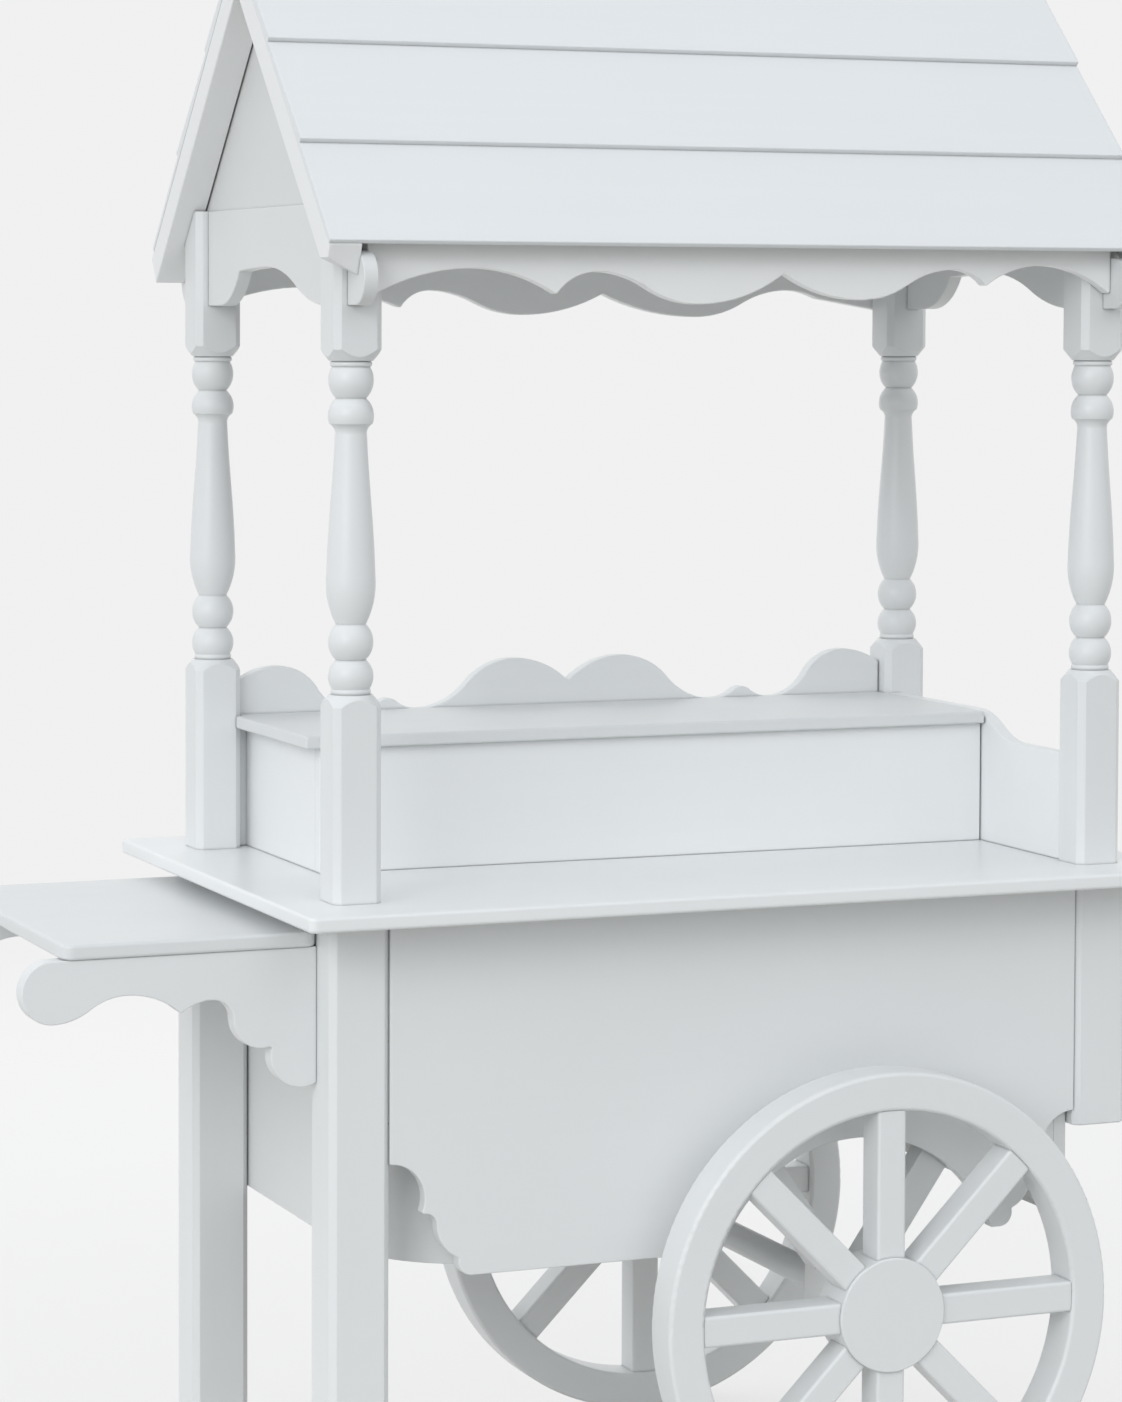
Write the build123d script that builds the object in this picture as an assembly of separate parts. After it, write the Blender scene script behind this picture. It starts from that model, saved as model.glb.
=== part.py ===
from build123d import *
import os
from math import cos, radians, sin, tan

# Candy cart. Millimetres, +Z up, front towards -Y, handles towards -X.
# The origin is on the floor, midway between handle tips and worktop end, and midway front to back.

# Overall layout
post_span_x = 994.0  # left to right, between post axes
post_span_y = 536.0  # front to back, between post axes
worktop_height = 820.0  # floor to worktop surface
board_thick = 18.0  # worktop, panels, tray, riser front, galleries, gables, valances, aprons

# Worktop
worktop_overhang_x = 90.0  # past the post axes
worktop_overhang_y = 118.0
worktop_corner = 10.0
worktop_ease = 4.0

# Legs
leg_size = 75.0
leg_chamfer = 8.0
right_leg_stop = 20.0  # end of a right leg, below the top of the panel scallops

# Posts
post_size = 60.0
post_chamfer = 8.0
post_foot_length = 245.0  # square foot above the worktop
turning_length = 392.0
post_head_length = 186.0  # square head under the roof
turned_outline_length = 393.0  # as drawn, before it is stretched to turning_length
collar_radius = 22.5
pommel_radius = 26.0  # round end of each square
pommel_slope = 20.0  # length over which the square is turned down
tenon_radius = 16.0
tenon_length = 60.0  # through the worktop into the leg

# Body panels
panel_setback = 2.5  # behind the leg faces
panel_bottom = 370.0  # above the floor
scallop_height = 140.0  # from the panel's bottom to its lower corner at the leg
end_panel_gap = 1.0  # clear of the legs
end_panel_lift = 7.0  # lower edge above that of the front and back panels
end_bend_radius = 160.0  # round front corner of the left end panel
end_bend_land = 20.0  # flat past the bend, against the front panel
wheel_arch_radius = 200.0
cleat_size = 25.0
rail_size = 30.0

# Wheels and axle
wheel_radius = 297.0
wheel_from_left_post = 654.0
wheel_clear = 38.0  # inner rim face from the panel's face
rim_width = 47.0
rim_thick = 56.0
rim_ease = 5.0
spoke_count = 8
spoke_width = 38.0
spoke_depth = 44.0
spoke_recess = 3.0  # behind the rim face
spoke_ease = 4.0
spoke_tenon_radius = 10.0
spoke_tenon_length = 22.0
hub_radius = 70.0
hub_cap_thick = 5.0
axle_radius = 18.0
journal_radius = 12.0
thread_radius = 8.0
bush_wall = 4.0
bush_length = 42.0
washer_thick = 2.5
washer_radius = 22.0
nut_across_flats = 24.0
nut_thick = 9.0
nut_room = 4.0  # round the nut, inside the hub
block_width = 100.0
block_height = 90.0
block_proud = 21.0  # in front of the panel
strut_angle = 55.0  # above level
strut_width = 40.0
strut_thick = 30.0
strut_reach = 300.0  # from the axle

# Handles and tray
arm_thick = 25.0
arm_drop = 35.0  # top of the arms, below the worktop's underside
arm_from_post_axis = 12.0  # outer face, towards the middle
arm_end_radius = 37.0
arm_root_depth = 161.5  # height of the front arm where it meets the leg
arm_root_lean = 20.0  # of its lowest scallop where it starts, off plumb
back_arm_root_depth = 135.0
back_arm_root_lean = -30.0
handle_reach = 395.0  # post axis to handle tip
tray_reach = 347.0  # post axis to the tray's free edge
tray_side_inset = 8.0  # behind the post axis
tray_corner = 14.0
tray_ease = 4.0
batten_width = 40.0
batten_depth = 25.0
batten_inset = 80.0  # from the tray's free edge

# Riser and galleries
riser_height = 172.0  # worktop to riser top
riser_top_thick = 16.0
riser_top_ease = 3.0
riser_setback = 238.0  # front board behind the front post axes
riser_nosing = 12.0  # top board past the front board
riser_left = 44.0  # left end board from the left post axis
riser_left_lip = 22.0  # top board past the left end board
gallery_gap = 1.5  # riser to side gallery, and back gallery to posts
riser_cleat_inset = 120.0  # ends of the cleat from the post axes
gallery_forward = 6.0  # front face before the back post axis
gallery_end_height = 214.0
side_gallery_inset = 26.0  # inner face from the right post axis
side_gallery_low = 137.0  # at the front post; it rises to the riser's height
side_gallery_rise = (115.0, 240.0)  # start and end of the rise, from the front post

# Valances, aprons and roof
valance_outward = 6.0  # centre of the board from the post axis
valance_height = 121.0
valance_arch_rise = 47.0
valance_cusp_drop = 4.0  # below the crown of the arch
valance_cusp = 112.0  # where the arch meets the back lobe, from the middle
valance_back_foot = 190.0  # lower end of the back lobe
valance_front_foot = 217.0  # lower end of the arch at the front
nose_radius = 31.6
nose_reach = 58.0  # past the post's face
gable_setback = 2.5  # behind the valance's outer face
apron_offset = 42.0  # centre of the front pattern, right of the cart's middle
back_apron_offset = 64.0
roof_pitch = 46.4
roof_seat = 32.0  # past the post axis, where the slope meets post-top height
eave_reach = 79.5  # past the post axis
roof_end = 55.0  # past the post axis, left and right
rafter_depth = 35.0
rafter_tail = (2.0, 17.0)  # upper and lower corner of a front tail, past the roof boards
back_rafter_tail = (15.0, 23.0)
tail_snip_rise = 20.0  # corner cut off each front rafter tail, over the width of the rafter
course_count = 3
course = 172.5  # between the lower edges of the roof boards, counted down from the ridge
course_lap = 14.0
course_thick = 13.0  # lower edge of a lapped roof board
course_thin = 6.0  # upper edge of a roof board
eave_thick = 6.0  # lower edge of the first roof board
ridge_width = 40.0
ridge_depth = 70.0

# Fasteners, clearances and eased edges
dowel_radius = 4.0
dowel_length = 36.0
dowel_in_board = 12.0  # depth into the face of a board
screw_radius = 2.5
screw_length = 42.0
screw_head_radius = 5.0
screw_head_height = 3.0
glue_gap = 0.1  # round dowels, tenons and screws, and in slots
running_gap = 0.05  # between journal and bush
end_play = 0.4  # each side of a hub
notch_gap = 1.0
corner_soft = 2.5
edge_soft = 1.5

# Places worked out from the sizes
x_left = (handle_reach - post_span_x - worktop_overhang_x) / 2
x_right = x_left + post_span_x
x_mid = (x_left + x_right) / 2
y_post = post_span_y / 2
worktop_under = worktop_height - board_thick
leg_half = leg_size / 2
post_half = post_size / 2
turning_bottom = worktop_height + post_foot_length
turning_top = turning_bottom + turning_length
post_top = turning_top + post_head_length
panel_face = y_post + leg_half - panel_setback
panel_back = panel_face - board_thick
scallop_top = panel_bottom + scallop_height
end_panel_inset = leg_half + end_panel_gap  # outer face from the post axis
end_panel_bottom = panel_bottom + end_panel_lift
end_bend_reach = end_panel_inset + end_bend_radius + end_bend_land  # from the post axis
cleat_inset = end_panel_inset + board_thick
wheel_x = x_left + wheel_from_left_post
wheel_face = panel_face + wheel_clear + rim_thick  # outer rim face from the centre plane
spoke_outer = wheel_face - spoke_recess
spoke_inner = spoke_outer - spoke_depth
rim_bore = wheel_radius - rim_width
outer_washer = spoke_outer - hub_cap_thick - nut_thick - washer_thick
bush_outer = outer_washer - end_play
bush_inner = bush_outer - bush_length
axle_shoulder = bush_inner - end_play - washer_thick
bush_radius = journal_radius + running_gap + bush_wall
strut_inner = panel_back - strut_thick
arm_top = worktop_under - arm_drop
gallery_face = y_post - gallery_forward
riser_face = -y_post + riser_setback
riser_top = worktop_height + riser_height
riser_under = riser_top - riser_top_thick
side_gallery_face = x_right - side_gallery_inset
pitch = radians(roof_pitch)
roof_half = y_post + roof_seat
eave_y = y_post + eave_reach
eave_z = post_top - (eave_reach - roof_seat) * tan(pitch)
ridge_z = post_top + roof_half * tan(pitch)
slope_length = eave_y / cos(pitch)
valance_out = valance_outward + board_thick / 2  # outer face from the post axis
valance_in = board_thick / 2 - valance_outward  # inner face from the post axis
valance_bottom = post_top - valance_height


# Basic shapes

def block(x0, x1, y0, y1, z0, z1):
    centre = Pos((x0 + x1) / 2, (y0 + y1) / 2, (z0 + z1) / 2)
    return centre * Box(abs(x1 - x0), abs(y1 - y0), abs(z1 - z0))


def rod(start, direction, length, radius):
    return Plane(origin=start, z_dir=direction) * extrude(Circle(radius), length)


def board_xz(outline, y_front, y_back):
    return extrude(Plane.XZ.offset(-y_back) * outline, y_back - y_front)


def board_yz(outline, x_start, x_end):
    return extrude(Plane.YZ.offset(x_start) * outline, x_end - x_start)


def to_back(shape):
    return mirror(shape, about=Plane.XZ)


def to_right(shape):
    return mirror(shape, about=Plane.YZ.offset(x_mid))


# An arc that leaves its first point level and ends at its second
def level_arc(level_point, end_point):
    heading = 1 if end_point[0] > level_point[0] else -1
    return TangentArc(level_point, end_point, tangent=(heading, 0))


# A scrolled edge through (across, up, level) points: the edge is level at a crest or a dip,
# and breaks at a cusp
def scroll(points):
    edges = []
    for (x0, z0, level0), (x1, z1, level1) in zip(points, points[1:]):
        start, end = (x0, z0), (x1, z1)
        if level0 and level1:
            middle = ((x0 + x1) / 2, (z0 + z1) / 2)
            edges += [level_arc(start, middle), level_arc(end, middle)]
        elif level0:
            edges.append(level_arc(start, end))
        elif level1:
            edges.append(level_arc(end, start))
        else:
            edges.append(Line(start, end))
    return edges


# A scroll to each side of a middle line
def two_scrolls(middle, left_points, right_points):
    left = [(middle - across, up, level) for across, up, level in left_points]
    right = [(middle + across, up, level) for across, up, level in right_points]
    return scroll(left[::-1]) + scroll(right)


# Joins a run of points with straight edges
def straight(points):
    return [Line(a, b) for a, b in zip(points, points[1:])]


def straight_face(corners):
    return make_face(straight(corners + corners[:1]))


# Rounds each corner of an outline where two edges meet at an angle
def soften(outline, radius):
    corners = []
    for vertex in outline.vertices():
        here = Vector(*vertex)
        away = []
        for edge in outline.edges():
            if (edge @ 0 - here).length < 1e-4:
                away.append(edge % 0)
            elif (edge @ 1 - here).length < 1e-4:
                away.append((edge % 1) * -1)
        if away[0].dot(away[1]) > -0.985:
            corners.append(vertex)
    return fillet(corners, radius)


# Rounds the rims of the two broad faces of a board
def ease(board, axis, radius=edge_soft):
    faces = board.faces().sort_by(axis)
    return fillet(faces[0].edges() + faces[-1].edges(), radius)


def scrolled_board_xz(edges, y_front, y_back):
    outline = soften(make_face(edges), corner_soft)
    return ease(board_xz(outline, y_front, y_back), Axis.Y)


def scrolled_board_yz(edges, x_start, x_end):
    outline = soften(make_face(edges), corner_soft)
    return ease(board_yz(outline, x_start, x_end), Axis.X)


# A straight board with all its edges eased
def plain_board(x0, x1, y0, y1, z0, z1):
    board = block(x0, x1, y0, y1, z0, z1)
    return fillet(board.edges(), edge_soft)


# A lying board with round corners and eased rims
def top_board(x0, x1, y0, y1, z0, z1, corner, radius):
    board = block(x0, x1, y0, y1, z0, z1)
    board = fillet(board.edges().filter_by(Axis.Z), corner)
    return ease(board, Axis.Z, radius)


# A square timber with chamfered long edges
def square_timber(x, y, z0, z1, size, bevel):
    half = size / 2
    timber = block(x - half, x + half, y - half, y + half, z0, z1)
    return chamfer(timber.edges().filter_by(Axis.Z), bevel)


# Body

def make_worktop():
    return top_board(
        x_left - worktop_overhang_x, x_right + worktop_overhang_x,
        -y_post - worktop_overhang_y, y_post + worktop_overhang_y,
        worktop_under, worktop_height, worktop_corner, worktop_ease,
    )


def make_leg(x, y, bottom):
    leg = square_timber(x, y, bottom, worktop_under, leg_size, leg_chamfer)
    return chamfer(leg.faces().sort_by(Axis.Z)[0].edges(), edge_soft)


# Left half of a body panel's lower edge, from the leg down to the flat bottom
def panel_scallops():
    def spot(across, up):
        return (x_left + leg_half + across, panel_bottom + up)

    top, first, turn, second, foot = (
        spot(0, scallop_height), spot(39.5, 77), spot(59.5, 63.5), spot(87.5, 22), spot(104, 0)
    )
    return top, foot, [
        level_arc(top, first),
        TangentArc(turn, first, tangent=(0, 1)),
        TangentArc(turn, second, tangent=(0, -1)),
        level_arc(foot, second),
    ]


def make_body_panel():
    top, foot, left_edges = panel_scallops()
    about_middle = Plane.YZ.offset(x_mid)
    right_edges = [mirror(edge, about=about_middle) for edge in left_edges]
    far_top = (2 * x_mid - top[0], top[1])
    far_foot = (2 * x_mid - foot[0], foot[1])
    rim = straight([top, (top[0], worktop_under), (far_top[0], worktop_under), far_top])
    outline = make_face(left_edges + right_edges + rim + [Line(foot, far_foot)])
    outline -= Pos(wheel_x, wheel_radius) * Circle(wheel_arch_radius)
    board = board_xz(soften(outline, corner_soft), -panel_face, -panel_back)
    return ease(board, Axis.Y)


# The left end panel, seen from above: straight from the back panel, then bent round to the front one
def make_left_end_panel():
    outer = x_left + end_panel_inset
    inner = outer + board_thick
    bend_y = end_bend_radius - panel_back
    bend_x = outer + end_bend_radius
    land_x = x_left + end_bend_reach
    front = -panel_back
    behind = front + board_thick
    outline = make_face([
        Line((outer, panel_back), (outer, bend_y)),
        TangentArc((outer, bend_y), (bend_x, front), tangent=(0, -1)),
        *straight([(bend_x, front), (land_x, front), (land_x, behind), (bend_x, behind)]),
        TangentArc((inner, bend_y), (bend_x, behind), tangent=(0, -1)),
        *straight([(inner, bend_y), (inner, panel_back), (outer, panel_back)]),
    ])
    panel = extrude(Plane.XY.offset(end_panel_bottom) * outline, worktop_under - end_panel_bottom)
    return fillet(panel.faces().sort_by(Axis.Z)[0].edges(), edge_soft)


def make_right_end_panel():
    end = x_right - end_panel_inset
    return plain_board(end - board_thick, end, -panel_back, panel_back, end_panel_bottom, worktop_under)


# Three corners of the body have a cleat; the bend takes the fourth
def make_corner_cleats():
    start = x_left + cleat_inset
    cleat = block(
        start, start + cleat_size, panel_back - cleat_size, panel_back,
        panel_bottom + cleat_size, worktop_under - rail_size,
    )
    return [cleat, to_right(cleat), to_right(to_back(cleat))]


def make_top_rail():
    return block(
        x_left + end_bend_reach, x_right - cleat_inset, -panel_back, rail_size - panel_back,
        worktop_under - rail_size, worktop_under,
    )


# Wheels and axle, made for the front, with distances from the centre plane

def make_axle():
    axle = rod((wheel_x, -axle_shoulder, wheel_radius), (0, 1, 0), 2 * axle_shoulder, axle_radius)
    journal_end = outer_washer
    thread_end = outer_washer + washer_thick + nut_thick
    for side in (-1, 1):
        start = (wheel_x, side * axle_shoulder, wheel_radius)
        axle += rod(start, (0, side, 0), journal_end - axle_shoulder, journal_radius)
        start = (wheel_x, side * journal_end, wheel_radius)
        axle += rod(start, (0, side, 0), thread_end - journal_end, thread_radius)
    return axle


def make_washers():
    washers = []
    for start, bore in ((axle_shoulder, journal_radius), (outer_washer, thread_radius)):
        disc = Circle(washer_radius) - Circle(bore + glue_gap)
        for side in (-1, 1):
            plane = Plane(origin=(wheel_x, side * start, wheel_radius), z_dir=(0, side, 0))
            washers.append(extrude(plane * disc, washer_thick))
    return washers


def make_nuts():
    nuts = []
    hexagon = RegularPolygon(nut_across_flats / 2, 6, major_radius=False)
    hexagon -= Circle(thread_radius + glue_gap)
    start = outer_washer + washer_thick
    for side in (-1, 1):
        plane = Plane(origin=(wheel_x, side * start, wheel_radius), z_dir=(0, side, 0))
        nuts.append(extrude(plane * hexagon, nut_thick))
    return nuts


def axle_point(distance):
    return (wheel_x, -distance, wheel_radius)


def make_axle_block():
    half_width, half_height = block_width / 2, block_height / 2
    timber = block(
        wheel_x - half_width, wheel_x + half_width, -panel_face - block_proud, -strut_inner,
        wheel_radius - half_height, wheel_radius + half_height,
    )
    timber = chamfer(timber.edges().filter_by(Axis.Y), leg_chamfer)
    return timber - rod(axle_point(0), (0, -1, 0), wheel_face, axle_radius + glue_gap)


def strut_direction(side):
    angle = radians(strut_angle)
    return Vector(side * cos(angle), 0, sin(angle))


def make_struts(axle_block):
    struts = []
    for side in (-1, 1):
        start = (wheel_x, -panel_back, wheel_radius)
        lean = Plane(origin=start, x_dir=strut_direction(side), z_dir=(0, 1, 0))
        bar = Pos(strut_reach / 2, 0) * Rectangle(strut_reach, strut_width)
        strut = extrude(lean * bar, strut_thick) - axle_block
        reach = strut.solids().sort_by(Axis.Z)[-1]
        middle_cut = block(wheel_x, wheel_x - side * strut_reach, -panel_face, 0, 0, worktop_under)
        struts.append(reach - middle_cut)
    return struts


# A ring as thick as the rim
def wheel_ring(outer, inner):
    plane = Plane(origin=axle_point(wheel_face), z_dir=(0, 1, 0))
    return extrude(plane * (Circle(outer) - Circle(inner)), rim_thick)


def make_rim():
    rim = fillet(wheel_ring(wheel_radius, rim_bore).edges(), rim_ease)
    for angle in spoke_angles():
        rim -= spoke_bore(angle)
    return rim


def spoke_angles():
    return [radians(360 / spoke_count * turn) for turn in range(spoke_count)]


def spoke_plane(angle):
    middle = (spoke_outer + spoke_inner) / 2
    return Plane(origin=axle_point(middle), x_dir=(0, 1, 0), z_dir=(cos(angle), 0, sin(angle)))


# A round bar along a spoke, from inside the hub to inside the rim
def spoke_core(angle, radius, gap):
    start = hub_radius - spoke_tenon_length - gap
    length = rim_bore - hub_radius + 2 * (spoke_tenon_length + gap)
    return spoke_plane(angle) * Pos(0, 0, start) * extrude(Circle(radius + gap), length)


def spoke_bore(angle):
    return spoke_core(angle, spoke_tenon_radius, glue_gap)


def make_spokes():
    reach = wheel_ring(rim_bore, hub_radius)
    spokes = []
    for angle in spoke_angles():
        bar = extrude(Rectangle(spoke_depth, spoke_width), wheel_radius)
        bar = fillet(bar.edges().filter_by(Axis.Z), spoke_ease)
        spokes.append((spoke_plane(angle) * bar & reach) + spoke_core(angle, spoke_tenon_radius, 0))
    return spokes


def make_hub():
    hub = rod(axle_point(spoke_outer), (0, 1, 0), spoke_outer - bush_inner, hub_radius)
    hub -= rod(axle_point(wheel_face), (0, 1, 0), rim_thick + wheel_radius, bush_radius + glue_gap)
    room = nut_across_flats / 2 / cos(radians(30)) + nut_room
    room = max(room, washer_radius + nut_room)
    hub -= rod(axle_point(wheel_face), (0, 1, 0), wheel_face - bush_outer, room)
    for angle in spoke_angles():
        hub -= spoke_bore(angle)
    return hub


def make_bush():
    sleeve = Circle(bush_radius) - Circle(journal_radius + running_gap)
    return extrude(Plane(origin=axle_point(bush_outer), z_dir=(0, 1, 0)) * sleeve, bush_length)


def make_hub_cap():
    cap = rod(axle_point(spoke_outer + hub_cap_thick), (0, 1, 0), hub_cap_thick, hub_radius)
    return fillet(cap.faces().sort_by(Axis.Y)[0].edges(), edge_soft)


# Handles and tray

def make_handle_arm(root_depth, root_lean):
    def spot(reach, drop):
        return (x_left - reach, arm_top - drop)

    end = handle_reach - arm_end_radius
    low = 2 * arm_end_radius
    cusp, crest, lobe, first = spot(204, 70), spot(166, 56.5), spot(140, 82), spot(92, 114.5)
    foot = spot(leg_half, root_depth)
    lean = radians(root_lean)
    outer = -y_post + arm_from_post_axis
    edges = [
        ThreePointArc(spot(end, 0), spot(handle_reach, arm_end_radius), spot(end, low)),
        *scroll([(*spot(end, low), True), (*spot(269, 45), True), (*cusp, False), (*crest, True)]),
        level_arc(crest, lobe),
        TangentArc(lobe, first, tangent=(0, -1)),
        TangentArc(first, foot, tangent=(-sin(lean), -cos(lean))),
        *straight([foot, spot(leg_half, 0), spot(end, 0)]),
    ]
    return scrolled_board_xz(edges, outer, outer + arm_thick)


def make_tray():
    return top_board(
        x_left - tray_reach, x_left - leg_half,
        tray_side_inset - y_post, y_post - tray_side_inset,
        arm_top, arm_top + board_thick, tray_corner, tray_ease,
    )


def make_tray_batten():
    return plain_board(
        x_left - tray_reach + batten_inset, x_left - leg_half, -batten_width / 2, batten_width / 2,
        arm_top - batten_depth, arm_top,
    )


# Posts

# Outline of the turned part, from the head down: radius against distance below the head
def turned_outline():
    def down(radius, distance):
        return (radius, turning_top - distance * turning_length / turned_outline_length)

    bottom = turned_outline_length
    return [
        Line(down(0, 0), down(collar_radius, 0)),
        ThreePointArc(down(collar_radius, 0), down(24.9, 3.5), down(collar_radius, 7)),
        ThreePointArc(down(collar_radius, 7), down(26.8, 23), down(17.9, 44)),
        ThreePointArc(down(17.9, 44), down(26.6, 59), down(25.5, 74)),
        ThreePointArc(down(25.5, 74), down(20.3, 79), down(18.9, 88)),
        Spline(down(18.9, 88), down(20.6, 120), down(26.3, 197), down(29, 252)),
        ThreePointArc(down(29, 252), down(26.6, 286), down(17.8, 310)),
        ThreePointArc(down(17.8, 310), down(26.8, 331), down(17.8, 352)),
        ThreePointArc(down(17.8, 352), down(26.8, 370), down(collar_radius, 386)),
        ThreePointArc(down(collar_radius, 386), down(23.8, 389.5), down(collar_radius, bottom)),
        *straight([down(collar_radius, bottom), down(0, bottom), down(0, 0)]),
    ]


# Rounds one end of a square timber down to a circle
def pommel(timber, end, away):
    wide = post_size
    slope = (wide - pommel_radius) * pommel_slope / (post_half * 2 ** 0.5 - pommel_radius)
    far = end + away * 2 * (post_foot_length + post_head_length)
    cone = straight_face([
        (0, end), (pommel_radius, end), (wide, end + away * slope), (wide, far), (0, far),
    ])
    return timber & revolve(Plane.XZ * cone, Axis.Z)


def make_post():
    foot = square_timber(0, 0, worktop_height, turning_bottom, post_size, post_chamfer)
    head = square_timber(0, 0, turning_top, post_top, post_size, post_chamfer)
    turned = revolve(Plane.XZ * make_face(turned_outline()), Axis.Z)
    tenon = rod((0, 0, worktop_height), (0, 0, -1), tenon_length, tenon_radius)
    return pommel(foot, turning_bottom, -1) + turned + pommel(head, turning_top, 1) + tenon


def tenon_hole(x, y):
    return rod((x, y, worktop_height), (0, 0, -1), tenon_length + glue_gap, tenon_radius + glue_gap)


# Slot through a left post head for the valance
def valance_slot():
    return block(
        x_left - valance_out - glue_gap, x_left + valance_in + glue_gap,
        -eave_y, eave_y, valance_bottom, ridge_z,
    )


# Riser and galleries

def make_riser_top():
    board = top_board(
        x_left + riser_left - riser_left_lip, side_gallery_face - gallery_gap,
        riser_face - riser_nosing, gallery_face, riser_under, riser_top, riser_top_ease, riser_top_ease,
    )
    reach = post_half + notch_gap
    for x in (x_left, x_right):
        board -= block(x - reach, x + reach, y_post - reach, y_post + reach, worktop_height, turning_bottom)
    return board


def make_riser_front():
    return plain_board(
        x_left + riser_left, side_gallery_face - gallery_gap, riser_face, riser_face + board_thick,
        worktop_height, riser_under,
    )


def make_riser_left_end():
    start = x_left + riser_left
    return plain_board(
        start, start + board_thick, riser_face + board_thick, gallery_face, worktop_height, riser_under,
    )


def make_riser_cleat():
    return plain_board(
        x_left + riser_cleat_inset, x_right - riser_cleat_inset, gallery_face - cleat_size, gallery_face,
        riser_under - cleat_size, riser_under,
    )


# The gallery's crest, from its middle: across, up and whether the edge is level there
def make_back_gallery():
    end = x_mid - x_left - post_half - gallery_gap
    crest = [
        (0, 202, False), (78, 234, True), (214, 171, True), (243, 180, False), (257, 186, True),
        (271, 180, False), (300, 171, True), (end - 56, 233, True), (end, gallery_end_height, False),
    ]
    crest = [(across, worktop_height + up, level) for across, up, level in crest]
    high = worktop_height + gallery_end_height
    left, right = x_mid - end, x_mid + end
    rim = straight([(right, high), (right, worktop_height), (left, worktop_height), (left, high)])
    edges = two_scrolls(x_mid, crest, crest) + rim
    return scrolled_board_xz(edges, gallery_face, gallery_face + board_thick)


def make_side_gallery():
    front, back = -y_post + post_half, y_post - post_half
    low = worktop_height + side_gallery_low
    rise_start, rise_end = (front + reach for reach in side_gallery_rise)
    edges = [
        Line((front, low), (rise_start, low)),
        *scroll([(rise_start, low, True), (rise_end, riser_top, True)]),
        *straight([(rise_end, riser_top), (back, riser_top), (back, worktop_height)]),
        *straight([(back, worktop_height), (front, worktop_height), (front, low)]),
    ]
    return scrolled_board_yz(edges, side_gallery_face, side_gallery_face + board_thick)


# Roof

# Point on the front slope: along from the eave, and out from the underside
def slope_point(along, out):
    return (-eave_y + along * cos(pitch) - out * sin(pitch), eave_z + along * sin(pitch) + out * cos(pitch))


# Everything above the undersides of both slopes
def roof_space():
    high = ridge_z + eave_reach
    low_y, low_z = slope_point(-eave_y, 0)
    outline = straight_face([(0, ridge_z), (low_y, low_z), (low_y, high), (-low_y, high), (-low_y, low_z)])
    return board_yz(outline, x_left - 2 * roof_end, x_right + 2 * roof_end)


# Lower edge of a roof board, along the slope
def course_edge(number):
    return slope_length - (course_count - number) * course if number else 0


def make_roof_board(number):
    low = course_edge(number)
    if number == course_count - 1:
        upper = [(slope_length, 0), (slope_length + course_thin * tan(pitch), course_thin)]
    else:
        top = course_edge(number + 1)
        upper = [(top + course_lap, 0), (top + course_lap, course_thin), (top, course_thin)]
    if number:
        thick = course_thick
        lower = [(low, thick), (low, course_thin), (low + course_lap, course_thin), (low + course_lap, 0)]
    else:
        thick = eave_thick
        lower = [(low, thick), (low, 0)]
    outline = straight_face([slope_point(*spot) for spot in upper + lower])
    board = board_yz(outline, x_left - roof_end, x_right + roof_end)
    drip = slope_point(low, thick)
    long_edges = board.edges().filter_by(Axis.X)
    return fillet(long_edges.sort_by_distance((x_mid, *drip))[0], edge_soft)


# A left rafter on the front slope
def make_rafter(tail):
    plumb = rafter_depth / cos(pitch)
    upper, lower = tail
    tail_high, tail_low = slope_point(-upper, 0), slope_point(-lower, -rafter_depth)
    outline = straight_face([(0, ridge_z), tail_high, tail_low, (0, ridge_z - plumb)])
    rafter = board_yz(outline, x_left - roof_end, x_left - valance_out)
    return fillet(rafter.faces().sort_by(Axis.X)[0].edges(), edge_soft)


# The corner that is cut off its tail
def tail_snip():
    run = roof_end - valance_out
    outer = x_left - roof_end
    low = slope_point(-rafter_tail[1], -rafter_depth)[1]
    corner = straight_face([
        (outer - run, low + 2 * tail_snip_rise),
        (outer - run, low - tail_snip_rise),
        (outer + 2 * run, low - tail_snip_rise),
    ])
    return board_xz(corner, -2 * eave_y, 0)


# The arch has a lobe at the back only; both ends are noses that stand out past the posts
def make_valance():
    crown = valance_bottom + valance_arch_rise
    front_arch = [(0, crown, True), (valance_front_foot, valance_bottom, True)]
    back_arch = [
        (0, crown, True), (valance_cusp, crown - valance_cusp_drop, False),
        (valance_back_foot, valance_bottom, True),
    ]
    nose_y = y_post + post_half + nose_reach - nose_radius
    middle = valance_bottom + nose_radius
    top = valance_bottom + 2 * nose_radius
    edges = two_scrolls(0, front_arch, back_arch) + [Line((-roof_half, post_top), (roof_half, post_top))]
    for side, foot in ((-1, valance_front_foot), (1, valance_back_foot)):
        under, over = (side * nose_y, valance_bottom), (side * nose_y, top)
        edges += [
            Line((side * foot, valance_bottom), under),
            ThreePointArc(under, (side * (nose_y + nose_radius), middle), over),
            *straight([over, (side * roof_half, top), (side * roof_half, post_top)]),
        ]
    return scrolled_board_yz(edges, x_left - valance_out, x_left + valance_in)


def make_gable():
    outline = straight_face([(-roof_half, post_top), (roof_half, post_top), (0, ridge_z)])
    return board_yz(outline, x_left - valance_out + gable_setback, x_left + valance_in)


apron_start = x_left + valance_in
apron_end = x_right - valance_in


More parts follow.
